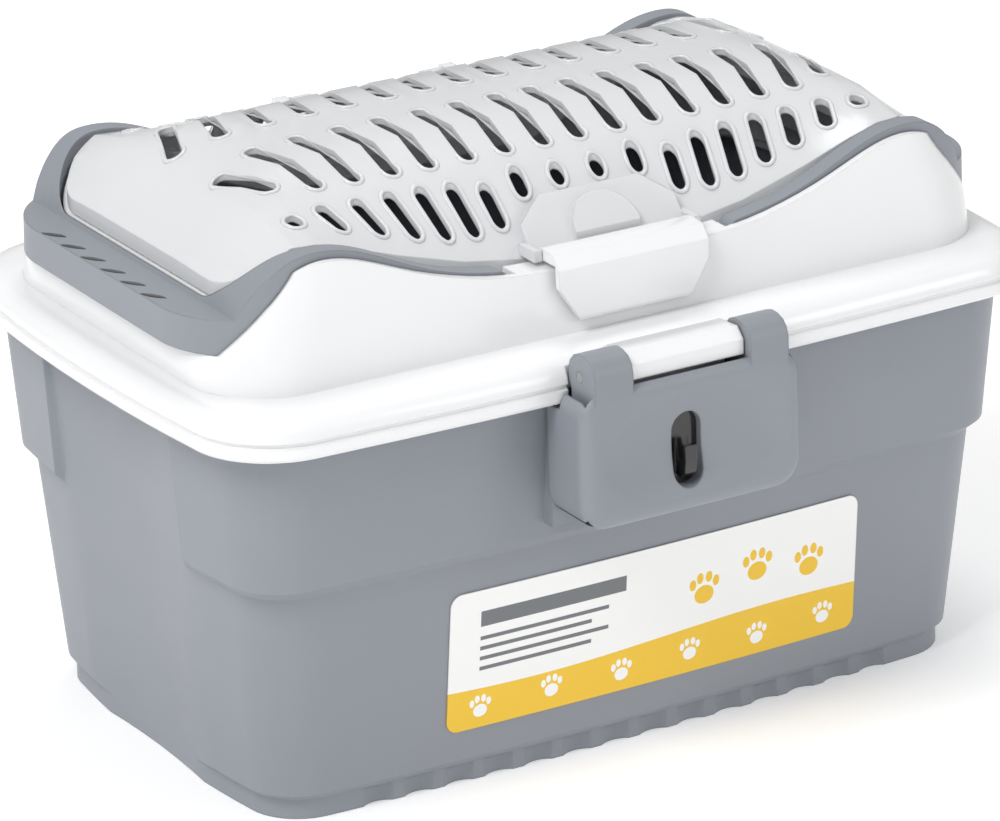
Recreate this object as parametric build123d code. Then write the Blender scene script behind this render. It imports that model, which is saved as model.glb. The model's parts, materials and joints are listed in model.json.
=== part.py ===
from build123d import *
from math import atan2, degrees
import os

os.makedirs("parts", exist_ok=True)

# Millimetres, Z up, X along the length, the front is -Y, the underside is z = 0.

# Outer envelope
LENGTH = 400.0
RIM_WIDTH = 262.0
CLASP_FACE_Y = 150.0
END_BOW = 8.0
SIDE_BOW = 5.0
RUN_GAP = 0.4
PIN_PLAY = 0.06
EDGE_GAP = 0.3

# Tub
WALL = 2.6
FLOOR = 2.8
TUB_TOP_Z = 160.0
TUB_TOP_INSET = 9.5
UPPER_FOOT_Z = 97.0
UPPER_FOOT_INSET = 15.5
STEP_DEPTH = 4.5
STEP_Z = 92.5
LOWER_FOOT_Z = 10.0
LOWER_FOOT_INSET = 29.0
SKIRT_STEP = 2.6
TUB_CORNER = 26.0
PANEL_HALF = 54.0
PANEL_DEPTH = 5.0
PANEL_HOLLOW = 3.0
PANEL_FLARE = 22.0
PANEL_REACH = 40.0
PANEL_TOP_Z = 150.0
FLUTE_PITCH = 18.3
FLUTE_RADIUS = 11.0
FLUTE_DEPTH = 2.2
FLUTES = 14
FLANGE_INSET = 3.3
FLANGE_T = 3.0
LABEL_X = 8.0
LABEL_Z = 51.0
LABEL_W = 196.0
LABEL_H = 57.0
LABEL_T = 0.5
LABEL_GAP = 0.15
LABEL_CORNER = 5.0

# Lid rim and dome
LID_T = 2.6
RIM_BOTTOM_Z = 155.0
RIM_GROOVE_Z = 161.3
RIM_TOP_Z = 171.5
RIM_CORNER = 37.0
DOME_HX = 185.0
DOME_HY = 104.0
DOME_TOP_Z = 226.0
DOME_TOP_HX = 171.0
DOME_TOP_HY = 99.9
DOME_CORNER = 36.0
SHELF_Z = 186.0
OPENING_HX = 154.0
OPENING_HY = 77.0
OPENING_CORNER = 24.0

# Lid edge heights along X
LID_EDGE = [(0, 198.5), (56, 198.5), (80, 203), (97, 208), (113, 214), (130, 219.4),
            (145, 220), (157, 215.5), (167, 207), (180, 193)]

# Handles
PIVOT_X = 58.0
PIVOT_Z = 194.5
PIVOT_BOSS_R = 5.2
PIN_R = 2.0
HANDLE_HX = 190.0
HANDLE_HY = 97.0
HANDLE_CORNER = 42.0
GRIP_INNER_X = 173.0
ARM_INNER_Y = 88.5
ARM_CORNER = 31.0
GRIP_TOP_Z = 200.0
ARM_TOP = [(58, 199.7), (80, 204), (100, 211), (115, 217.5), (130, 222.3), (142, 223.6),
           (153, 222), (163, 215.5), (171, 206)]
ARM_BOTTOM = [(58, 189.3), (66, 190), (80, 194.5), (100, 201.5), (115, 208), (130, 212.8),
              (141, 214), (151, 212), (160, 205), (167, 195)]

# Door
DOOR_T = 2.4
DOOR_HX = 170.0
DOOR_HY = 85.5
DOOR_CORNER = 28.0
DOOR_TOP_Z = 240.0
DOOR_SKIRT = 3.5
DOOR_RIDGE_Y = 57.0
DOOR_CROWN_Y = 34.0
DOOR_EDGE = [(0, 197.5), (38, 197.5), (67, 202), (99, 211), (119, 217.6), (135, 222.2),
             (146, 222.8), (158, 216.5), (170, 205)]
DOOR_RIDGE = [(0, 229), (67, 229.6), (119, 231), (135, 231), (146, 229), (158, 219.5), (170, 206)]
DOOR_CROWN = [(0, 239.6), (67, 239.7), (119, 239), (132, 236.5), (146, 229.8), (158, 220), (170, 206.5)]
SLOT_W = 6.4
TOP_SLOTS = [8.5, 27, 45, 64, 82, 101, 120, 138]
TOP_SLOT_L = 44.0
TOP_SLOT_Y = 32.0
SIDE_SLOTS = [(9.5, 0.5), (28, 2.5), (44, 7), (58, 11), (72, 12), (86.5, 12), (102, 10), (119, 8), (136, 1)]
SIDE_SLOT_Y = 69.5
MIDDLE_SLOT_Y = 64.0
MIDDLE_SLOT_X = 30.0

# Door hinge at the back
HINGE_Y = 110.0
HINGE_Z = 208.0
HINGE_BOSS_R = 5.0
HINGE_ARM_X = 33.0
HINGE_ARM_W = 10.0
HINGE_LUG_X = 42.0
HINGE_LUG_W = 6.0

# Catch at the front of the door
PAD_HALF = 37.0
PAD_RAISE = 2.6
PAD_TOP_HALF = 20.0
PAD_TOP_Y = 70.5
PAD_SHOULDER_Y = 80.0
BUTTON_R = 15.5
BUTTON_H = 4.5
CATCH_HALF = 36.0
CATCH_PIVOT_Y = 93.0
CATCH_PIVOT_Z = 201.6
CATCH_PIN_R = 1.1
CATCH_BOTTOM_Z = 177.0
CATCH_BOTTOM_HALF = 25.0
CATCH_SHOULDER_Z = 191.0

# Clasps
CLASP_HALF = 52.0
CLASP_BOTTOM_Z = 108.0
CLASP_TOP_Z = 164.0
CLASP_T = 2.8
CLASP_BACK_Y = 122.4
PAD_Y = 122.0
CLASP_PIVOT_Y = 138.0
CLASP_PIVOT_Z = 167.0
EAR_R = 9.4
EAR_IN = 28.0
EAR_OUT = 46.0
EAR_SHAPE = [(-11.7, -10), (-11.7, 1.5), (-10.6, 5.2), (-8, 7.8), (-4, 9.1), (0, 9.3), (4, 8.2),
             (7, 5.4), (8.6, 1.5), (8.4, -2.5), (6.2, -6), (6.2, -11)]
KNUCKLE_HALF = 27.2
DISH_DEPTH = 5.0
DISH_HALF_W = 54.0
DISH_HALF_H = 27.0
DISH_HALF_D = 12.0
HOOK_T = 5.5
HOOK_SLOT_W = 14.0
HOOK_SLOT_H = 30.0
HOOK_Z = 132.0
HOOK_SEAT_Y = 141.5


def outline(hx, hy, z, radius, bow_x=0.0, bow_y=0.0):
    """A rounded rectangle at height z whose sides bulge by the two bows."""
    ax, ay = hx - bow_x, hy - bow_y
    corners = [(-ax, -ay), (ax, -ay), (ax, ay), (-ax, ay)]
    middles = [(0, -hy), (hx, 0), (0, hy), (-hx, 0)]
    edges = []
    for i, middle in enumerate(middles):
        start, end = corners[i], corners[(i + 1) % 4]
        straight = (i % 2 == 0 and bow_y == 0) or (i % 2 == 1 and bow_x == 0)
        edges.append(Line(start, end) if straight else ThreePointArc(start, middle, end))
    face = make_face(edges)
    return Pos(0, 0, z) * fillet(face.vertices(), radius)


def inset_outline(inset, z, radius):
    """The carrier's plan shape drawn in by inset from the rim's outer edge."""
    return outline(LENGTH / 2 - inset, RIM_WIDTH / 2 - inset, z, radius, END_BOW, SIDE_BOW)


def stack(faces):
    """A solid through the faces in turn, with straight sides between them."""
    return loft([face.face() for face in faces], ruled=True)


def mirrored(points):
    """The points of one half, repeated on the other side of x = 0."""
    left = [(-x, z) for x, z in reversed(points) if x > 0]
    return left + points


def shift(points, dz, dx=0.0):
    """The points moved down by -dz, and drawn towards x = 0 by dx at the far end."""
    far = points[-1][0]
    return [(x - dx * x / far, z + dz) for x, z in points]


def side_prism(edges, depth=200.0):
    """A shape drawn in X and Z, carried through the whole width."""
    return extrude(Plane.XZ * make_face(edges), depth, both=True)


def above(points, shelf_z=None):
    """Everything over a curve along X, with a flat shelf past its ends if one is given."""
    curve = Spline(*mirrored(points))
    x, z = points[-1]
    far, high = 240.0, 300.0
    step = [] if shelf_z is None else [(x + 3, shelf_z)]
    end_z = z if shelf_z is None else shelf_z
    path = [(x, z)] + step + [(far, end_z), (far, high), (-far, high), (-far, end_z)]
    path += [(-px, pz) for px, pz in step] + [(-x, z)]
    return side_prism([curve, Polyline(*path)])


def plan_prism(hx, hy, radius, low=100.0, high=300.0):
    """A rounded rectangle in plan, from low to high."""
    return Pos(0, 0, low) * extrude(RectangleRounded(2 * hx, 2 * hy, radius), high - low)


def cylinder_x(radius, length, x, y, z):
    return Pos(x, y, z) * Rot(0, 90, 0) * Cylinder(radius, length)


def cylinder_y(radius, length, x, y, z):
    return Pos(x, y, z) * Rot(90, 0, 0) * Cylinder(radius, length)


def block(x0, x1, y0, y1, z0, z1):
    return Pos((x0 + x1) / 2, (y0 + y1) / 2, (z0 + z1) / 2) * Box(x1 - x0, y1 - y0, z1 - z0)


def both_ends(shape):
    return shape + mirror(shape, Plane.YZ)


def front_and_back(shape):
    return shape + mirror(shape, Plane.XZ)


def yz_prism(points, x0, x1):
    """A polygon drawn in Y and Z, carried from x0 to x1."""
    face = make_face(Polyline(*points, close=True))
    return Pos(x0, 0, 0) * extrude(Plane.YZ * face, x1 - x0)


def save(node, *solids):
    found = [solid for shape in solids for solid in shape.solids()]
    part = found[0] if len(found) == 1 else Compound(children=found)
    export_step(part, f"parts/{node}.step")


def tub_body(inward, bottom):
    """The tub's tapered body, drawn in by inward and starting at height bottom."""
    foot = LOWER_FOOT_INSET + inward
    radius = TUB_CORNER - inward
    step_z = STEP_Z + inward
    faces = [inset_outline(foot + SKIRT_STEP, bottom, radius - 2)]
    faces.append(inset_outline(foot + SKIRT_STEP, LOWER_FOOT_Z - 2.5, radius - 2))
    faces.append(inset_outline(foot, LOWER_FOOT_Z, radius - 2))
    faces.append(inset_outline(UPPER_FOOT_INSET + STEP_DEPTH + inward, step_z, radius))
    faces.append(inset_outline(UPPER_FOOT_INSET + inward, UPPER_FOOT_Z + inward, radius))
    faces.append(inset_outline(TUB_TOP_INSET + inward, TUB_TOP_Z, radius + 2))
    return stack(faces)


def end_panels(inward):
    """The two cutters of the sunk end panels, set inward and up by the wall."""
    bottom_x = LENGTH / 2 - LOWER_FOOT_INSET - PANEL_DEPTH + 1.5 - inward
    top_x = LENGTH / 2 - TUB_TOP_INSET - PANEL_DEPTH - inward
    half = PANEL_HALF + inward
    faces = []
    for z, x in ((-6.0, bottom_x), (PANEL_TOP_Z + inward, top_x)):
        far, wide = x + PANEL_REACH, half + PANEL_FLARE
        hollow = ThreePointArc((x, half), (x - PANEL_HOLLOW, 0), (x, -half))
        sides = Polyline((x, -half), (far, -wide), (far, wide), (x, half))
        faces.append(Pos(0, 0, z) * make_face([hollow, sides]))
    cutter = stack(faces)
    return both_ends(cutter)


def make_tub():
    outer = tub_body(0.0, 0.0)
    pads = front_and_back(block(-50, 50, -PAD_Y, -PAD_Y + 30, 103, TUB_TOP_Z))
    flange_faces = [inset_outline(TUB_TOP_INSET + 1, TUB_TOP_Z - 6, TUB_CORNER),
                    inset_outline(FLANGE_INSET, TUB_TOP_Z - FLANGE_T, RIM_CORNER - 2),
                    inset_outline(FLANGE_INSET, TUB_TOP_Z, RIM_CORNER - 2)]
    flange = stack(flange_faces)
    outer = outer + flange + pads
    outer -= end_panels(0.0)
    inner = tub_body(WALL, FLOOR) - end_panels(WALL)
    tub = outer - inner
    tub -= front_and_back(block(-54, 54, -160, -PAD_Y, 100, 170))
    for i in range(FLUTES):
        x = (i - (FLUTES - 1) / 2) * FLUTE_PITCH
        y = skirt_y(x) + FLUTE_RADIUS - FLUTE_DEPTH
        tub -= front_and_back(Pos(x, -y, 2.5) * Cylinder(FLUTE_RADIUS, 9))
    return tub


def bow_at(x, hx, bow):
    """How far a bowed side has fallen back at x, for a side of half length hx."""
    return bow * (x / hx) ** 2


def skirt_y(x):
    hx = LENGTH / 2 - LOWER_FOOT_INSET - SKIRT_STEP - END_BOW
    return RIM_WIDTH / 2 - LOWER_FOOT_INSET - SKIRT_STEP - bow_at(x, hx, SIDE_BOW)


def make_label():
    """A thin sheet that follows the tub's lower front wall."""
    sheet = tub_body(-LABEL_T - LABEL_GAP, 0.0) - tub_body(-LABEL_GAP, -1.0)
    face = Plane.XZ * Pos(LABEL_X, LABEL_Z) * RectangleRounded(LABEL_W, LABEL_H, LABEL_CORNER)
    window = Pos(0, -80, 0) * extrude(face, 60)
    return sheet & window


def dome(inward, low, high):
    """The lid's raised body."""
    top_y = DOME_TOP_HY - inward
    radius = DOME_CORNER - inward
    faces = [outline(DOME_HX - inward, DOME_HY - inward, low, radius),
             outline(DOME_HX - inward, DOME_HY - inward, RIM_TOP_Z, radius),
             outline(DOME_HX - 1 - inward, DOME_HY - 1.2 - inward, SHELF_Z, radius),
             outline(DOME_HX - 6 - inward, DOME_HY - 2.6 - inward, 204, radius),
             outline(DOME_TOP_HX - inward, top_y, high, radius)]
    return stack(faces)


def make_lid():
    rim_steps = [(0.9, RIM_BOTTOM_Z), (0.0, RIM_BOTTOM_Z + 1.2), (0.0, RIM_GROOVE_Z - 1.1),
                 (0.9, RIM_GROOVE_Z - 0.5), (0.9, RIM_GROOVE_Z + 0.5), (0.0, RIM_GROOVE_Z + 1.1),
                 (0.3, 165.0), (2.2, 168.6), (5.5, 170.7), (11.0, RIM_TOP_Z)]
    rim = stack([inset_outline(inset, z, RIM_CORNER - inset / 2) for inset, z in rim_steps])
    skirt_room = stack([inset_outline(LID_T, RIM_BOTTOM_Z - 1, RIM_CORNER - LID_T),
                        inset_outline(LID_T, TUB_TOP_Z, RIM_CORNER - LID_T)])
    under_rim = stack([inset_outline(TUB_TOP_INSET + WALL + 2, TUB_TOP_Z - 1, 30),
                       inset_outline(TUB_TOP_INSET + WALL + 2, RIM_TOP_Z - 8, 30)])
    handle_room = plan_prism(HANDLE_HX + 0.8, HANDLE_HY + 0.6, HANDLE_CORNER + 0.6)
    door_room = plan_prism(DOOR_HX + 1.2, ARM_INNER_Y - 1, DOOR_CORNER + 1)
    middle = block(-50.5, 50.5, -HANDLE_HY - 5, HANDLE_HY + 5, 150, 300)
    seat = shift(ARM_BOTTOM, -RUN_GAP, 0.8)
    door_seat = shift(DOOR_EDGE, -DOOR_SKIRT - EDGE_GAP, 0.3)
    body = dome(0.0, RIM_TOP_Z - 6, DOME_TOP_Z) - above(LID_EDGE)
    body -= (handle_room - middle - door_room) & above(seat, SHELF_Z)
    body -= door_room & above(door_seat)
    roof = shift(ARM_BOTTOM, -RUN_GAP - LID_T - 0.6, 2.6)
    hollow = dome(LID_T, TUB_TOP_Z - 2, DOME_TOP_Z) - above(roof, SHELF_Z - LID_T)
    hollow -= front_and_back(both_ends(cylinder_y(6.4, 12, PIVOT_X, -83, PIVOT_Z - 1)))
    hollow -= front_and_back(both_ends(block(50, 66, -89.5, -76, 186, 200)))
    lid = rim + body
    for x in (-HINGE_LUG_X, HINGE_LUG_X):
        lug = yz_prism([(99, 184), (104, 176), (116, 206), (114, 213), (106, 213), (99, 199)],
                       x - HINGE_LUG_W / 2, x + HINGE_LUG_W / 2)
        lid += lug
    for side in (-1, 1):
        shell = [(-128, 158.5), (-145.2, 164), (-145.4, 170), (-141, 174.4), (-128, 173.5), (-124, 171)]
        knuckle = yz_prism([(-side * y, z) for y, z in shell], -KNUCKLE_HALF, KNUCKLE_HALF)
        lid += knuckle
        notch = EAR_R + 0.6
        for ear in (-1, 1):
            x0, x1 = sorted((ear * (KNUCKLE_HALF + 0.05), ear * (EAR_OUT + 0.8)))
            y0, y1 = sorted((side * (CLASP_PIVOT_Y - notch), side * 160))
            lid -= block(x0, x1, y0, y1, 150, 180)
    lid -= skirt_room + under_rim
    lid -= hollow
    lid -= plan_prism(OPENING_HX, OPENING_HY, OPENING_CORNER)
    for x in (-PIVOT_X, PIVOT_X):
        for y in (-92.25, 92.25):
            lid -= cylinder_y(PIN_R, 15.5, x, y, PIVOT_Z)
    lid -= cylinder_x(PIN_R, 120, 0, HINGE_Y, HINGE_Z)
    for y in (-CLASP_PIVOT_Y, CLASP_PIVOT_Y):
        lid -= cylinder_x(PIN_R, 120, 0, y, CLASP_PIVOT_Z)
    return lid


def make_handle():
    """The handle of the -X end."""
    ring = plan_prism(HANDLE_HX, HANDLE_HY, HANDLE_CORNER) - plan_prism(GRIP_INNER_X, ARM_INNER_Y, ARM_CORNER)
    ring -= block(-PIVOT_X, 240, -120, 120, 100, 300)
    top = above(ARM_TOP, GRIP_TOP_Z)
    bottom = above(ARM_BOTTOM, SHELF_Z)
    bail = (ring & bottom) - top
    arm_y = (HANDLE_HY + ARM_INNER_Y) / 2
    arm_t = HANDLE_HY - ARM_INNER_Y
    for y in (-arm_y, arm_y):
        bail += cylinder_y(PIVOT_BOSS_R, arm_t, -PIVOT_X, y, PIVOT_Z)
    for y in (-arm_y, arm_y):
        bail -= cylinder_y(PIN_R + PIN_PLAY, 20, -PIVOT_X, y, PIVOT_Z)
    return bail


def handle_pins(side):
    pins = [cylinder_y(PIN_R, 15.5, side * PIVOT_X, y, PIVOT_Z) for y in (-92.25, 92.25)]
    return pins


def door_form(inward):
    """The door's humped form, drawn in by inward."""
    def level(points, x):
        for (x0, z0), (x1, z1) in zip(points, points[1:]):
            if x <= x1:
                return z0 + (z1 - z0) * (x - x0) / (x1 - x0)
        return points[-1][1]
    stations = [0, 38, 67, 84, 99, 109, 119, 127, 135, 141, 146, 152, 158, 164, 172]
    faces = []
    for x in [-s for s in reversed(stations[1:])] + stations:
        edge = level(DOOR_EDGE, abs(x)) - inward
        ridge = level(DOOR_RIDGE, abs(x)) - inward
        crown = level(DOOR_CROWN, abs(x)) - inward
        top = crown + (DOOR_TOP_Z - DOOR_CROWN[0][1]) * max(0.0, 1 - abs(x) / 150)
        wide = DOOR_HY + 0.5
        corners = [(-wide, 150), (-wide, edge), (-DOOR_RIDGE_Y, ridge), (-DOOR_CROWN_Y, crown),
                   (0, top), (DOOR_CROWN_Y, crown), (DOOR_RIDGE_Y, ridge), (wide, edge), (wide, 150)]
        face = Plane.YZ * make_face(Polyline(*corners, close=True))
        faces.append(Pos(x, 0, 0) * face)
    form = stack(faces)
    return form & plan_prism(DOOR_HX - inward, DOOR_HY - inward, DOOR_CORNER - inward)


def slot(x, y, length, angle):
    """One slot of the grille, cut straight down through the door."""
    shape = Circle(SLOT_W / 2) if length < 1 else SlotCenterToCenter(length, SLOT_W)
    return Pos(x, y, 185) * Rot(0, 0, angle) * extrude(shape, 70)


def form_over_edge():
    """The room over the door's outer face, so the button doesn't fill the hatch."""
    face = [(-50, DOOR_RIDGE[0][1] + 6), (-DOOR_HY + 0.5, DOOR_EDGE[0][1] - 1), (-100, DOOR_EDGE[0][1] - 1),
            (-100, 260), (-50, 260)]
    return yz_prism(face, -40, 40)


def make_door():
    form = door_form(0.0)
    door = form - door_form(DOOR_T)
    door &= above(shift(DOOR_EDGE, -DOOR_SKIRT))
    pad_points = [(-66, 214), (-70.6, 216.2), (-72.8, 218.2), (-88.3, 200.8), (-88.3, 199.2), (-86.9, 199),
                  (-86.9, 195.4), (-84, 195.4)]
    pad = yz_prism(pad_points, -PAD_HALF, PAD_HALF)
    plan = [(-PAD_HALF, -100), (-PAD_HALF, -PAD_SHOULDER_Y), (-PAD_TOP_HALF, -PAD_TOP_Y),
            (PAD_TOP_HALF, -PAD_TOP_Y), (PAD_HALF, -PAD_SHOULDER_Y), (PAD_HALF, -100)]
    pad &= Pos(0, 0, 180) * extrude(make_face(Polyline(*plan, close=True)), 60)
    slope = degrees(atan2(DOOR_RIDGE[0][1] - DOOR_EDGE[0][1], DOOR_HY - DOOR_RIDGE_Y))
    button = Pos(0, -85.5, 203.2) * Rot(slope, 0, 0) * Cylinder(BUTTON_R, BUTTON_H + PAD_RAISE)
    button &= block(-30, 30, -88.3, -50, 199, 240) & form_over_edge()
    lug = block(CATCH_HALF + 0.4, CATCH_HALF + 4, -CATCH_PIVOT_Y - 2.4, -83,
                CATCH_PIVOT_Z - 2.2, CATCH_PIVOT_Z + 2.2)
    solid = door + pad + both_ends(lug)
    for x, run in SIDE_SLOTS:
        lean = 26 * (x / 136)
        y = MIDDLE_SLOT_Y if x < MIDDLE_SLOT_X else SIDE_SLOT_Y
        for side in (-1, 1):
            for front in (-1, 1):
                if front == 1 and HINGE_ARM_X - HINGE_ARM_W < x < HINGE_ARM_X + HINGE_ARM_W + 2:
                    continue
                solid -= slot(side * x, front * y, run, 90 + side * front * lean)
    for x in TOP_SLOTS:
        lean = 20 * (x / 138) ** 3
        for side in (-1, 1):
            for front in (-1, 1):
                run = TOP_SLOT_L - SLOT_W - (12 if x > 130 else 0)
                solid -= slot(side * x, front * TOP_SLOT_Y, run, 90 + side * front * lean)
    solid += button
    for x in (-HINGE_ARM_X, HINGE_ARM_X):
        arm = yz_prism([(82, 199.6), (82, 204), (104, 212.6), (HINGE_Y, 212.9), (HINGE_Y, 203.2), (98, 201)],
                       x - HINGE_ARM_W / 2, x + HINGE_ARM_W / 2)
        solid += arm + cylinder_x(HINGE_BOSS_R, HINGE_ARM_W, x, HINGE_Y, HINGE_Z)
    solid -= cylinder_x(PIN_R + PIN_PLAY, 120, 0, HINGE_Y, HINGE_Z)
    solid -= cylinder_x(CATCH_PIN_R, 2 * CATCH_HALF + 6, 0, -CATCH_PIVOT_Y, CATCH_PIVOT_Z)
    return solid


def make_catch():
    points = [(-90.4, 199.7), (-90.4, 203.2), (-95, 204.6), (-103.5, 203.6), (-107.6, 198.6),
              (-108.3, CATCH_BOTTOM_Z + 1.5), (-107, CATCH_BOTTOM_Z), (-105.4, CATCH_BOTTOM_Z),
              (-104.5, 199.7)]
    catch = yz_prism(points, -CATCH_HALF, CATCH_HALF)
    half = [(CATCH_HALF, 210), (CATCH_HALF, CATCH_SHOULDER_Z), (CATCH_BOTTOM_HALF + 3, CATCH_BOTTOM_Z + 2.5),
            (CATCH_BOTTOM_HALF, CATCH_BOTTOM_Z - 1)]
    front = half + [(-x, z) for x, z in reversed(half)]
    catch &= side_prism([Polyline(*front, close=True)])
    return catch - cylinder_x(CATCH_PIN_R + PIN_PLAY, 90, 0, -CATCH_PIVOT_Y, CATCH_PIVOT_Z)


def bowl(outward):
    """The oval hollow in the clasp's face, grown by outward."""
    by = (DISH_HALF_W + outward, DISH_HALF_D + outward, DISH_HALF_H + outward)
    return Pos(-1, -(CLASP_FACE_Y + DISH_HALF_D - DISH_DEPTH), 136) * scale(Sphere(1.0), by=by)


def make_clasp():
    """The front clasp."""
    face = Plane.XZ * Pos(0, (CLASP_BOTTOM_Z + CLASP_TOP_Z) / 2)
    height = CLASP_TOP_Z - CLASP_BOTTOM_Z
    plate = Pos(0, -CLASP_BACK_Y, 0) * extrude(face * RectangleRounded(2 * CLASP_HALF, height, 12),
                                               CLASP_FACE_Y - CLASP_BACK_Y)
    front_edges = plate.faces().sort_by(Axis.Y)[0].edges()
    plate = fillet(front_edges, 5.5)
    dish = bowl(0.0)
    dish_wall = bowl(CLASP_T)
    room = block(-CLASP_HALF + CLASP_T, CLASP_HALF - CLASP_T, -CLASP_FACE_Y + CLASP_T, -100,
                 CLASP_BOTTOM_Z + CLASP_T, CLASP_TOP_Z + 5)
    seat = block(-14, 14, -CLASP_FACE_Y, -HOOK_SEAT_Y, HOOK_Z - 21, HOOK_Z + 21)
    clasp = plate - (room - dish_wall - seat)
    clasp -= dish
    clasp -= block(-60, 60, -RIM_WIDTH / 2 - 0.8, -100, RIM_BOTTOM_Z - 1.5, 190)
    for side in (-1, 1):
        x0, x1 = sorted((side * EAR_IN, side * EAR_OUT))
        clasp += yz_prism([(-CLASP_PIVOT_Y + dy, CLASP_PIVOT_Z + dz) for dy, dz in EAR_SHAPE], x0, x1)
    clasp -= cylinder_x(PIN_R + PIN_PLAY, 120, 0, -CLASP_PIVOT_Y, CLASP_PIVOT_Z)
    opening = Plane.XZ * Pos(-1, HOOK_Z) * SlotCenterToCenter(HOOK_SLOT_H - HOOK_SLOT_W, HOOK_SLOT_W, 90)
    clasp -= Pos(0, -130, 0) * extrude(opening, 40)
    return clasp


def make_hook():
    """The front strap hook, seated on the back of the clasp's dish."""
    base = block(-12, 12, -HOOK_SEAT_Y, -HOOK_SEAT_Y + 3, HOOK_Z - 19, HOOK_Z + 19)
    neck = [(-HOOK_SEAT_Y + 1, 121), (-144.5, 120.5), (-148.2, 123), (-149, 128), (-148.6, 134),
            (-146.6, 134), (-146.4, 128.5), (-145.2, 126.5), (-143.6, 127), (-142.6, 130),
            (-HOOK_SEAT_Y + 1, 142)]
    blade = yz_prism(neck, -1 - HOOK_T / 2, -1 + HOOK_T / 2)
    return base + blade


tub = make_tub()
save("tub", tub)
save("front_label", make_label())
lid = make_lid()
save("lid", lid)
handle = make_handle()
save("handle_left", handle)
save("handle_right", mirror(handle, Plane.YZ))
save("handle_pins_left", *handle_pins(-1))
save("handle_pins_right", *handle_pins(1))
save("door", make_door())
save("door_hinge_pin", cylinder_x(PIN_R, 2 * HINGE_LUG_X + HINGE_LUG_W, 0, HINGE_Y, HINGE_Z))
save("door_catch", make_catch())
save("catch_pin", cylinder_x(CATCH_PIN_R, 2 * CATCH_HALF + 6, 0, -CATCH_PIVOT_Y, CATCH_PIVOT_Z))
clasp = make_clasp()
save("clasp_front", clasp)
save("clasp_back", mirror(clasp, Plane.XZ))
hook = make_hook()
save("strap_hook_front", hook)
save("strap_hook_back", mirror(hook, Plane.XZ))
pin = cylinder_x(PIN_R, 2 * EAR_OUT, 0, -CLASP_PIVOT_Y, CLASP_PIVOT_Z)
save("clasp_pin_front", pin)
save("clasp_pin_back", mirror(pin, Plane.XZ))
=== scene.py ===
"""Dresses the pet carrier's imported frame: finishes, slot rims, printed label, studio and camera."""

import json
import logging
from dataclasses import dataclass, field
from enum import Enum
from math import cos, pi, radians, sin

import bmesh
import bpy
from mathutils import Matrix, Vector
from mathutils.bvhtree import BVHTree

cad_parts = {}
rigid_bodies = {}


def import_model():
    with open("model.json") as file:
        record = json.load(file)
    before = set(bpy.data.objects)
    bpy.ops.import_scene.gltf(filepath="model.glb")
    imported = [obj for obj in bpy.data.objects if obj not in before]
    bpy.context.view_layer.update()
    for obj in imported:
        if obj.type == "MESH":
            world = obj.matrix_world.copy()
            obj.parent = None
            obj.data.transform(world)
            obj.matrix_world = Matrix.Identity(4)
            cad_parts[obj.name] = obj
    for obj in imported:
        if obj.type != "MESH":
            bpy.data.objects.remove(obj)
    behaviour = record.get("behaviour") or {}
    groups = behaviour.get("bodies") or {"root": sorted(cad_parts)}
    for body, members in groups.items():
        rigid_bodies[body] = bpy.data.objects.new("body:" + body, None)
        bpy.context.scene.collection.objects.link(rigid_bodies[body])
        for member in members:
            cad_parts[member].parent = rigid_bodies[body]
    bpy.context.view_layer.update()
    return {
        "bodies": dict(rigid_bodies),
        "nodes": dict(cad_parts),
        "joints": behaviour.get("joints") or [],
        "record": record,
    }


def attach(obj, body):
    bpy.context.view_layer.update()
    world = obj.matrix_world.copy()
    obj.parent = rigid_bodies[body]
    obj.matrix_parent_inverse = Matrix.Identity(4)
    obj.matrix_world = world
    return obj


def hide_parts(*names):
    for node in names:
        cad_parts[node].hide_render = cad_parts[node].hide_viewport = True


LOG = logging.getLogger("carrier")
MM = 0.001
CLOUD_SCALE = 9.0
SMEAR_SCALE = 38.0
COAT_ROUGHNESS = 0.12
PLASTIC_IOR = 1.49
ALPHA_SPREAD = 0.06
GRAIN_DEPTH = 0.2 * MM
FINE_GRAIN_DEPTH = 0.1 * MM
BEVEL_SAMPLES = 6


class Slot(Enum):
    """The record's material slots."""

    GREY = "grey_plastic"
    WHITE = "white_plastic"
    MILKY = "milky_plastic"
    BLACK = "black_plastic"
    LABEL = "label_film"
    STEEL = "pin_steel"


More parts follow.
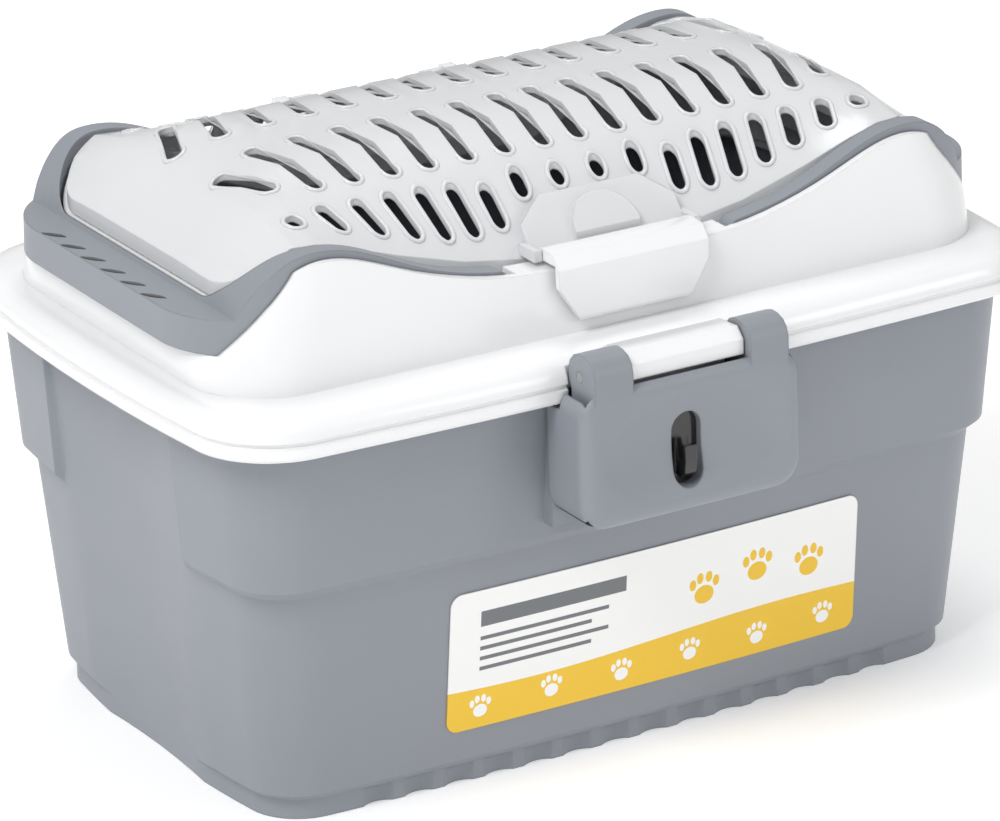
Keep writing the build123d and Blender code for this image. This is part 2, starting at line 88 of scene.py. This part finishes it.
class Graph:
    """Builds one material's node tree."""

    def __init__(self, material: bpy.types.Material) -> None:
        """Args:
            material: the material whose tree is built.
        """
        material.use_nodes = True
        self.tree = material.node_tree
        self.surface = self.tree.nodes["Principled BSDF"]

    def node(self, kind: str, settings: dict | None = None, inputs: dict | None = None) -> bpy.types.Node:
        """Adds a node.

        Args:
            kind: the node's type name.
            settings: properties set on the node.
            inputs: values or wrapped sockets for its inputs, by name or index.

        Returns:
            The new node.
        """
        made = self.tree.nodes.new(kind)
        for name, value in (settings or {}).items():
            setattr(made, name, value)
        for name, value in (inputs or {}).items():
            self.feed(made.inputs[name], value)
        return made

    def feed(self, socket: bpy.types.NodeSocket, value: object) -> None:
        """Links a wrapped socket, or sets a constant.

        Args:
            socket: the input that is fed.
            value: a Sock, or a constant.
        """
        if isinstance(value, Sock):
            self.tree.links.new(value.out, socket)
        else:
            socket.default_value = value

    def wrap(self, out: bpy.types.NodeSocket) -> "Sock":
        """Wraps an output socket.

        Args:
            out: the socket.

        Returns:
            The wrapped socket.
        """
        return Sock(self, out)

    def place(self) -> tuple["Sock", "Sock", "Sock"]:
        """Returns:
            The object-space x, y and z, in metres.
        """
        coords = self.node("ShaderNodeTexCoord")
        split = self.node("ShaderNodeSeparateXYZ", inputs={"Vector": self.wrap(coords.outputs["Object"])})
        return tuple(self.wrap(out) for out in split.outputs)

    def noise(self, scale: float, detail: float = 3.0) -> "Sock":
        """Args:
            scale: the noise's frequency per metre.
            detail: the number of octaves.

        Returns:
            Noise between 0 and 1.
        """
        coords = self.node("ShaderNodeTexCoord")
        made = self.node("ShaderNodeTexNoise", inputs={
            "Vector": self.wrap(coords.outputs["Object"]), "Scale": scale, "Detail": detail})
        return self.wrap(made.outputs["Fac"])

    def mix(self, factor: object, first: object, second: object) -> "Sock":
        """Args:
            factor: 0 for the first colour, 1 for the second.
            first: a colour.
            second: a colour.

        Returns:
            The mixed colour.
        """
        made = self.node("ShaderNodeMix", {"data_type": "RGBA"})
        self.feed(made.inputs["Factor"], factor)
        self.feed(made.inputs[6], first)
        self.feed(made.inputs[7], second)
        return self.wrap(made.outputs[2])

    def bump(self, height: "Sock", strength: float, distance: float, radius: float) -> None:
        """Feeds the normal with a grain over softly rounded edges.

        Args:
            height: the grain's height.
            strength: how strong the grain is.
            distance: the grain's depth in metres.
            radius: how round the edges look, in metres.
        """
        edge = self.node("ShaderNodeBevel", {"samples": BEVEL_SAMPLES}, {"Radius": radius})
        made = self.node("ShaderNodeBump", inputs={
            "Height": height, "Strength": strength, "Distance": distance,
            "Normal": self.wrap(edge.outputs["Normal"])})
        self.feed(self.surface.inputs["Normal"], self.wrap(made.outputs["Normal"]))


class Sock:
    """A node output that takes part in sums."""

    def __init__(self, graph: Graph, out: bpy.types.NodeSocket) -> None:
        """Args:
            graph: the graph it belongs to.
            out: the output socket.
        """
        self.graph = graph
        self.out = out

    def math(self, operation: str, *others: object) -> "Sock":
        """Args:
            operation: the Math node's operation.
            others: its other operands.

        Returns:
            The result.
        """
        operands = dict(enumerate((self, *others)))
        made = self.graph.node("ShaderNodeMath", {"operation": operation}, operands)
        return self.graph.wrap(made.outputs[0])

    def _from(self, operation: str, other: object) -> "Sock":
        """Args:
            operation: the Math node's operation.
            other: its first operand.

        Returns:
            The result, with this socket as the second operand.
        """
        made = self.graph.node("ShaderNodeMath", {"operation": operation}, {0: other, 1: self})
        return self.graph.wrap(made.outputs[0])

    def __add__(self, other: object) -> "Sock":
        return self.math("ADD", other)

    def __radd__(self, other: object) -> "Sock":
        return self._from("ADD", other)

    def __sub__(self, other: object) -> "Sock":
        return self.math("SUBTRACT", other)

    def __rsub__(self, other: object) -> "Sock":
        return self._from("SUBTRACT", other)

    def __mul__(self, other: object) -> "Sock":
        return self.math("MULTIPLY", other)

    def __rmul__(self, other: object) -> "Sock":
        return self._from("MULTIPLY", other)

    def __truediv__(self, other: object) -> "Sock":
        return self.math("DIVIDE", other)

    def __rtruediv__(self, other: object) -> "Sock":
        return self._from("DIVIDE", other)

    def below(self, limit: object) -> "Sock":
        """Args:
            limit: a number or socket.

        Returns:
            1 where this is less than the limit, else 0.
        """
        return self.math("LESS_THAN", limit)

    def either(self, other: "Sock") -> "Sock":
        """Args:
            other: another mask.

        Returns:
            The union of the two masks.
        """
        return self.math("MAXIMUM", other)


@dataclass(frozen=True)
class Plastic:
    """A moulded plastic's finish."""

    slot: Slot
    light: tuple[float, float, float]
    dark: tuple[float, float, float]
    roughness: float
    roughness_spread: float
    grain_scale: float
    grain_strength: float
    coat: float = 0.0
    alpha: float = 1.0
    edge_radius: float = 1.2 * MM

    def build(self) -> bpy.types.Material:
        """Returns:
            The finished material.
        """
        material = bpy.data.materials.new(f"{self.slot.value}_finish")
        graph = Graph(material)
        cloud = graph.noise(CLOUD_SCALE)
        graph.feed(graph.surface.inputs["Base Color"], graph.mix(cloud, (*self.dark, 1), (*self.light, 1)))
        smear = graph.noise(SMEAR_SCALE, 4.0)
        graph.feed(graph.surface.inputs["Roughness"], smear * self.roughness_spread + self.roughness)
        graph.surface.inputs["Coat Weight"].default_value = self.coat
        graph.surface.inputs["Coat Roughness"].default_value = COAT_ROUGHNESS
        graph.surface.inputs["IOR"].default_value = PLASTIC_IOR
        if self.alpha < 1:
            graph.feed(graph.surface.inputs["Alpha"], cloud * ALPHA_SPREAD + self.alpha)
        graph.bump(graph.noise(self.grain_scale, 2.0), self.grain_strength, GRAIN_DEPTH, self.edge_radius)
        return material


@dataclass(frozen=True)
class Steel:
    """Drawn steel wire for the hinge pins."""

    slot: Slot = Slot.STEEL
    light: tuple[float, float, float] = (0.62, 0.62, 0.62)
    dark: tuple[float, float, float] = (0.45, 0.45, 0.46)
    streak_scale: float = 420.0

    def build(self) -> bpy.types.Material:
        """Returns:
            The finished material.
        """
        material = bpy.data.materials.new(f"{self.slot.value}_finish")
        graph = Graph(material)
        streak = graph.noise(self.streak_scale)
        graph.feed(graph.surface.inputs["Base Color"], graph.mix(streak, (*self.dark, 1), (*self.light, 1)))
        graph.feed(graph.surface.inputs["Roughness"], streak * 0.15 + 0.25)
        graph.surface.inputs["Metallic"].default_value = 1.0
        graph.bump(streak, 0.1, FINE_GRAIN_DEPTH, 0.3 * MM)
        return material


@dataclass(frozen=True)
class Print:
    """The label's generic print: a band, paw marks and plain bars."""

    slot: Slot = Slot.LABEL
    paper: tuple[float, float, float] = (0.90, 0.90, 0.89)
    yellow: tuple[float, float, float] = (0.86, 0.54, 0.03)
    grey: tuple[float, float, float] = (0.16, 0.17, 0.18)
    centre: tuple[float, float] = (8.0 * MM, 51.0 * MM)
    band_top: float = -10.5 * MM
    wave_height: float = 2.2 * MM
    wave_rate: float = 26.0
    big_paw: float = 8.5 * MM
    big_paw_at: tuple[float, float] = (22.0 * MM, 6.0 * MM)
    big_paw_pitch: float = 26.0 * MM
    big_paw_rise: float = 4.0 * MM
    big_paws: int = 3
    small_paw: float = 5.8 * MM
    small_paw_at: tuple[float, float] = (-83.0 * MM, -19.5 * MM)
    small_paw_pitch: float = 33.0 * MM
    small_paw_rise: float = 1.0 * MM
    small_paws: int = 6
    title_at: tuple[float, float] = (-50.0 * MM, 16.5 * MM)
    title_size: tuple[float, float] = (34.0 * MM, 3.2 * MM)
    line_left: float = -84.0 * MM
    line_top: float = 8.5 * MM
    line_pitch: float = 4.2 * MM
    line_half_width: float = 30.0 * MM
    line_half_height: float = 0.8 * MM
    line_indent: float = 4.0 * MM
    lines: int = 4
    toe_turns: tuple[int, ...] = (-54, -18, 18, 54)

    def disc(self, x: Sock, z: Sock, at: tuple[float, float], size: tuple[float, float]) -> Sock:
        """Args:
            x: position along the label, in metres.
            z: height on the label, in metres.
            at: the disc's centre.
            size: its half width and half height.

        Returns:
            1 inside the disc.
        """
        across = (x - at[0]) / size[0]
        along = (z - at[1]) / size[1]
        return (across * across + along * along).below(1.0)

    def bar(self, x: Sock, z: Sock, at: tuple[float, float], size: tuple[float, float]) -> Sock:
        """Args:
            x: position along the label, in metres.
            z: height on the label, in metres.
            at: the bar's centre.
            size: its half width and half height.

        Returns:
            1 inside the bar.
        """
        inside_x = (x - at[0]).math("ABSOLUTE").below(size[0])
        inside_z = (z - at[1]).math("ABSOLUTE").below(size[1])
        return inside_x * inside_z

    def paw(self, x: Sock, z: Sock, at: tuple[float, float], size: float) -> Sock:
        """Args:
            x: position along the label, in metres.
            z: height on the label, in metres.
            at: the paw's centre.
            size: its half width.

        Returns:
            1 inside the paw mark.
        """
        mask = self.disc(x, z, (at[0], at[1] - 0.35 * size), (0.55 * size, 0.45 * size))
        for turn in map(radians, self.toe_turns):
            toe = (at[0] + 0.82 * size * sin(turn), at[1] + 0.72 * size * cos(turn) - 0.2 * size)
            mask = mask.either(self.disc(x, z, toe, (0.19 * size, 0.27 * size)))
        return mask

    def build(self) -> bpy.types.Material:
        """Returns:
            The finished material.
        """
        material = bpy.data.materials.new("label_film_finish")
        graph = Graph(material)
        px, _, pz = graph.place()
        x = px - self.centre[0]
        z = pz - self.centre[1]
        wave = (x * self.wave_rate).math("SINE") * self.wave_height
        band = z.below(wave + self.band_top)
        yellow = band
        for i in range(self.big_paws):
            at = (self.big_paw_at[0] + self.big_paw_pitch * i,
                  self.big_paw_at[1] + self.big_paw_rise * (i % 2))
            yellow = yellow.either(self.paw(x, z, at, self.big_paw))
        bars = self.bar(x, z, self.title_at, self.title_size)
        for i in range(self.lines):
            half = self.line_half_width - self.line_indent * (i % 2)
            at = (self.line_left + half, self.line_top - self.line_pitch * i)
            bars = bars.either(self.bar(x, z, at, (half, self.line_half_height)))
        white = None
        for i in range(self.small_paws):
            at = (self.small_paw_at[0] + self.small_paw_pitch * i,
                  self.small_paw_at[1] + self.small_paw_rise * (i % 2))
            paw = self.paw(x, z, at, self.small_paw)
            white = paw if white is None else white.either(paw)
        colour = graph.mix(yellow, (*self.paper, 1), (*self.yellow, 1))
        colour = graph.mix(bars, colour, (*self.grey, 1))
        colour = graph.mix(white * band, colour, (*self.paper, 1))
        graph.feed(graph.surface.inputs["Base Color"], colour)
        film = graph.noise(60.0)
        graph.feed(graph.surface.inputs["Roughness"], film * 0.1 + 0.28)
        graph.bump(film, 0.05, FINE_GRAIN_DEPTH, 0.2 * MM)
        return material


@dataclass
class Palette:
    """Every finish, built once."""

    made: dict[Slot, bpy.types.Material] = field(default_factory=dict)

    def build(self) -> None:
        """Builds each slot's material."""
        finishes = (
            Plastic(Slot.GREY, (0.268, 0.286, 0.318), (0.244, 0.262, 0.294), 0.36, 0.14, 2600.0, 0.22),
            Plastic(Slot.WHITE, (0.86, 0.865, 0.87), (0.83, 0.835, 0.845), 0.14, 0.10, 900.0, 0.05,
                    coat=0.35),
            Plastic(Slot.MILKY, (0.80, 0.81, 0.825), (0.745, 0.76, 0.775), 0.16, 0.12, 700.0, 0.06,
                    coat=0.3, alpha=0.80, edge_radius=0.8 * MM),
            Plastic(Slot.BLACK, (0.016, 0.016, 0.017), (0.010, 0.010, 0.011), 0.12, 0.10, 900.0, 0.05,
                    coat=0.5),
            Steel(),
            Print(),
        )
        for finish in finishes:
            self.made[finish.slot] = finish.build()

    def put(self, obj: bpy.types.Object, slot: Slot) -> None:
        """Gives an object one finish.

        Args:
            obj: the object.
            slot: the finish's slot.
        """
        obj.data.materials.clear()
        obj.data.materials.append(self.made[slot])


@dataclass
class Shell:
    """CAD nodes shown as they are, with smooth shading where faces run on."""

    frame: dict
    palette: Palette
    crease_degrees: float = 32.0
    weld: float = 2e-6
    smooth: tuple[str, ...] = ("tub", "lid", "door", "handle_left", "handle_right", "clasp_front",
                               "clasp_back", "door_catch", "strap_hook_front", "strap_hook_back")

    def slot_of(self, node: str) -> Slot:
        """Args:
            node: a CAD node's name.

        Returns:
            Its material slot.
        """
        for part in self.frame["record"]["subparts"]:
            if part["node"] == node:
                return Slot(part["material_slot"])
        raise KeyError(node)

    def copy(self, node: str) -> bpy.types.Object:
        """Makes a smooth-shaded copy that stands for a node.

        Args:
            node: the CAD node's name.

        Returns:
            The copy.
        """
        source = self.frame["nodes"][node]
        mesh = bpy.data.meshes.new(f"{node}_skin")
        work = bmesh.new()
        work.from_mesh(source.data)
        bmesh.ops.remove_doubles(work, verts=work.verts, dist=self.weld)
        bmesh.ops.dissolve_degenerate(work, edges=work.edges, dist=self.weld / 2)
        limit = radians(self.crease_degrees)
        for face in work.faces:
            face.smooth = True
        for edge in work.edges:
            edge.smooth = edge.calc_face_angle(pi) < limit
        work.to_mesh(mesh)
        work.free()
        skin = bpy.data.objects.new(f"{node}_skin", mesh)
        bpy.context.scene.collection.objects.link(skin)
        return skin

    def build(self) -> None:
        """Dresses every node."""
        bodies = self.frame["record"]["behaviour"]["bodies"]
        for body, nodes in bodies.items():
            for node in nodes:
                slot = self.slot_of(node)
                self.palette.put(self.frame["nodes"][node], slot)
                if node in self.smooth:
                    skin = self.copy(node)
                    self.palette.put(skin, slot)
                    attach(skin, body)
                    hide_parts(node)
                LOG.info("dressed %s", node)


@dataclass
class SlotRims:
    """The raised lips round the hatch's slots."""

    frame: dict
    palette: Palette
    width: float = 6.4 * MM
    lip: float = 1.1 * MM
    top_run: float = 37.6 * MM
    top_y: float = 32.0 * MM
    side_y: float = 69.5 * MM
    middle_y: float = 64.0 * MM
    middle_x: float = 30.0
    hinge_arm: tuple[float, float] = (23.0, 45.0)
    top_x: tuple[float, ...] = (8.5, 27, 45, 64, 82, 101, 120, 138)
    top_lean: float = 20.0
    side_lean: float = 26.0
    end_x: float = 130.0
    end_cut: float = 12.0 * MM
    drop_from: float = 0.4
    door_low: float = 0.18
    corners: int = 32
    sides: int = 6
    side: tuple[tuple[float, float], ...] = ((9.5, 0.5), (28, 2.5), (44, 7), (58, 11), (72, 12), (86.5, 12),
                                             (102, 10), (119, 8), (136, 1))

    def path(self, x: float, y: float, run: float, angle: float) -> list[Vector]:
        """Args:
            x: the slot's centre.
            y: the slot's centre.
            run: its straight length.
            angle: its direction in degrees.

        Returns:
            Points round the slot in plan.
        """
        radius = self.width / 2 + 0.8 * self.lip
        points = []
        for i in range(self.corners):
            turn = 2 * pi * i / self.corners
            end = run / 2 if cos(turn) >= 0 else -run / 2
            points.append(Vector((end + radius * cos(turn), radius * sin(turn), 0)))
        spin = Matrix.Rotation(radians(angle), 3, "Z")
        return [spin @ p + Vector((x, y, 0)) for p in points]

    def slots(self) -> list[tuple[float, float, float, float]]:
        """Returns:
            Each slot's centre, straight length and angle.
        """
        found = []
        for side in (-1, 1):
            for front in (-1, 1):
                for x in self.top_x:
                    lean = self.top_lean * (x / self.top_x[-1]) ** 3
                    run = self.top_run - (self.end_cut if x > self.end_x else 0)
                    found.append((side * x * MM, front * self.top_y, run, 90 + side * front * lean))
                for x, run in self.side:
                    if front == 1 and self.hinge_arm[0] < x < self.hinge_arm[1]:
                        continue
                    lean = self.side_lean * x / self.side[-1][0]
                    run = 0 if run < 1 else run * MM
                    y = self.middle_y if x < self.middle_x else self.side_y
                    found.append((side * x * MM, front * y, run, 90 + side * front * lean))
        return found

    def build(self) -> bpy.types.Object:
        """Returns:
            One object with every rim.
        """
        source = self.frame["nodes"]["door"]
        corners = [v.co.copy() for v in source.data.vertices]
        tree = BVHTree.FromPolygons(corners, [tuple(face.vertices) for face in source.data.polygons])
        work = bmesh.new()
        for x, y, run, angle in self.slots():
            ring = []
            for p in self.path(x, y, run, angle):
                hit, normal, _, _ = tree.ray_cast(Vector((p.x, p.y, self.drop_from)), Vector((0, 0, -1)))
                ring.append((hit, normal) if hit is not None and hit.z > self.door_low else None)
            if any(r is None for r in ring):
                continue
            self.tube(work, ring)
        mesh = bpy.data.meshes.new("slot_rims")
        work.to_mesh(mesh)
        work.free()
        for polygon in mesh.polygons:
            polygon.use_smooth = True
        rims = bpy.data.objects.new("slot_rims", mesh)
        bpy.context.scene.collection.objects.link(rims)
        self.palette.put(rims, Slot.MILKY)
        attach(rims, "door")
        LOG.info("built slot_rims")
        return rims

    def tube(self, work: bmesh.types.BMesh, ring: list[tuple[Vector, Vector]]) -> None:
        """Adds one closed half-round lip.

        Args:
            work: the mesh that grows.
            ring: points on the door with its normals.
        """
        loops = []
        count = len(ring)
        for i, (point, normal) in enumerate(ring):
            ahead = (ring[(i + 1) % count][0] - ring[i - 1][0]).normalized()
            out = normal.normalized()
            across = ahead.cross(out).normalized()
            section = []
            for k in range(self.sides):
                turn = 2 * pi * k / self.sides
                offset = across * cos(turn) * self.lip + out * sin(turn) * self.lip * 0.8
                section.append(work.verts.new(point + offset))
            loops.append(section)
        for i in range(count):
            here, there = loops[i], loops[(i + 1) % count]
            for k in range(self.sides):
                after = (k + 1) % self.sides
                work.faces.new((here[k], here[after], there[after], there[k]))


@dataclass
class GripSlitShade:
    """Painted shade for the lens-shaped slits along each grip's top edge: black patches set just proud of
    the grip stand for the dark inside of the slits.
    """

    palette: Palette
    x: float = 186.5 * MM
    z: float = 200.0 * MM
    half_length: float = 5.6 * MM
    half_width: float = 1.8 * MM
    pitch: float = 17.5 * MM
    count: int = 6
    corners: int = 24
    lean: float = 0.55
    point: float = 0.6
    lift: float = 0.05 * MM
    steps: tuple[tuple[float, float], ...] = ((1.0, 0.0), (0.92, 0.12 * MM), (0.4, 0.16 * MM))

    def build(self, side: int, body: str) -> bpy.types.Object:
        """Args:
            side: -1 for the -X grip, 1 for the other.
            body: the body it rides on.

        Returns:
            The slits' object.
        """
        work = bmesh.new()
        for i in range(self.count):
            centre = Vector((side * self.x, (i - (self.count - 1) / 2) * self.pitch, self.z + self.lift))
            rings = []
            for scale, rise in self.steps:
                ring = []
                for k in range(self.corners):
                    turn = 2 * pi * k / self.corners
                    along = self.half_length * scale * cos(turn)
                    across = self.half_width * scale * sin(turn) * abs(sin(turn)) ** self.point
                    offset = Vector((along * self.lean * side + across, along, rise))
                    ring.append(work.verts.new(centre + offset))
                rings.append(ring)
            for low, high in zip(rings, rings[1:]):
                for k in range(self.corners):
                    after = (k + 1) % self.corners
                    work.faces.new((low[k], low[after], high[after], high[k]))
            work.faces.new(rings[-1])
        mesh = bpy.data.meshes.new(f"grip_slit_shade_{body}")
        work.to_mesh(mesh)
        work.free()
        slit_shade = bpy.data.objects.new(f"grip_slit_shade_{body}", mesh)
        bpy.context.scene.collection.objects.link(slit_shade)
        # painted shade: the patches take the black finish to stand for the shaded hollows of the slits
        self.palette.put(slit_shade, Slot.BLACK)
        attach(slit_shade, body)
        LOG.info("built slits on %s", body)
        return slit_shade


@dataclass
class Studio:
    """Floor, light, world and camera."""

    floor_size: float = 7.0
    position: tuple[float, float, float] = (-1.2949, -2.18431, 1.02897)
    right: tuple[float, float, float] = (0.86019, -0.50951, -0.02169)
    up: tuple[float, float, float] = (0.02194, -0.00552, 0.99974)
    back: tuple[float, float, float] = (-0.5095, -0.86044, 0.00643)
    sensor: float = 36.0
    lens: float = 217.85
    shift: tuple[float, float] = (0.0474, -2.1626)
    aim_z: float = 0.12
    floor_glow: float = 0.22
    world_glow: float = 0.5

    def floor(self) -> None:
        """Builds the pale floor."""
        work = bmesh.new()
        bmesh.ops.create_grid(work, x_segments=4, y_segments=4, size=self.floor_size / 2)
        mesh = bpy.data.meshes.new("floor")
        work.to_mesh(mesh)
        work.free()
        floor = bpy.data.objects.new("floor", mesh)
        bpy.context.scene.collection.objects.link(floor)
        material = bpy.data.materials.new("floor_finish")
        graph = Graph(material)
        graph.feed(graph.surface.inputs["Base Color"],
                   graph.mix(graph.noise(2.0), (0.96, 0.96, 0.96, 1), (0.98, 0.98, 0.98, 1)))
        graph.surface.inputs["Roughness"].default_value = 0.7
        graph.surface.inputs["Emission Color"].default_value = (1.0, 1.0, 1.0, 1.0)
        graph.surface.inputs["Emission Strength"].default_value = self.floor_glow
        mesh.materials.append(material)

    def lamp(self, name: str, at: tuple[float, float, float], size: float, power: float) -> None:
        """Adds a soft light aimed at the carrier.

        Args:
            name: the light's name.
            at: its place.
            size: its width in metres.
            power: its power in watts.
        """
        data = bpy.data.lights.new(name, "AREA")
        data.shape = "SQUARE"
        data.size = size
        data.energy = power
        lamp = bpy.data.objects.new(name, data)
        aim = Vector((0, 0, self.aim_z)) - Vector(at)
        lamp.rotation_euler = aim.to_track_quat("-Z", "Y").to_euler()
        lamp.location = at
        bpy.context.scene.collection.objects.link(lamp)

    def camera(self) -> None:
        """Adds the fitted camera: a level one whose lens is shifted down and to the right.

        The shift is a skew that the camera takes from its stand, so that a view from elsewhere,
        which takes the camera off the stand, starts from a plain camera.
        """
        right, up, back = (Vector(axis) for axis in (self.right, self.up, self.back))
        skewed = back - (right * self.shift[0] + up * self.shift[1]) * self.sensor / self.lens
        data = bpy.data.cameras.new("camera")
        data.sensor_width = self.sensor
        data.lens = self.lens * skewed.length
        data.clip_start = 0.05
        stand = bpy.data.objects.new("camera_stand", None)
        camera = bpy.data.objects.new("camera", data)
        camera.parent = stand
        skew = Matrix((right, up, skewed.normalized())).transposed().to_4x4()
        camera.matrix_parent_inverse = Matrix.Translation(Vector(self.position)) @ skew
        for thing in (stand, camera):
            bpy.context.scene.collection.objects.link(thing)
        bpy.context.scene.camera = camera

    def build(self) -> None:
        """Builds the whole studio."""
        self.floor()
        self.lamp("key", (-1.5, -0.6, 1.9), 1.0, 30.0)
        self.lamp("fill", (1.6, -2.2, 1.2), 1.2, 11.0)
        self.lamp("top", (0.3, 0.5, 2.2), 0.8, 12.0)
        world = bpy.data.worlds.new("studio")
        world.use_nodes = True
        backdrop = world.node_tree.nodes["Background"]
        backdrop.inputs["Color"].default_value = (1.0, 1.0, 1.0, 1.0)
        backdrop.inputs["Strength"].default_value = self.world_glow
        scene = bpy.context.scene
        scene.world = world
        scene.view_settings.view_transform = "Standard"
        scene.view_settings.look = "None"
        self.camera()
        LOG.info("built studio")


def main() -> None:
    """Dresses the frame piece by piece."""
    logging.basicConfig(level=logging.INFO)
    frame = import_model()
    palette = Palette()
    palette.build()
    Shell(frame, palette).build()
    SlotRims(frame, palette).build()
    # painted shade on both grips: dark patches where the slits are
    slit_shade = GripSlitShade(palette)
    slit_shade.build(-1, "handle_left")
    slit_shade.build(1, "handle_right")
    Studio().build()


if __name__ == "__main__":
    main()
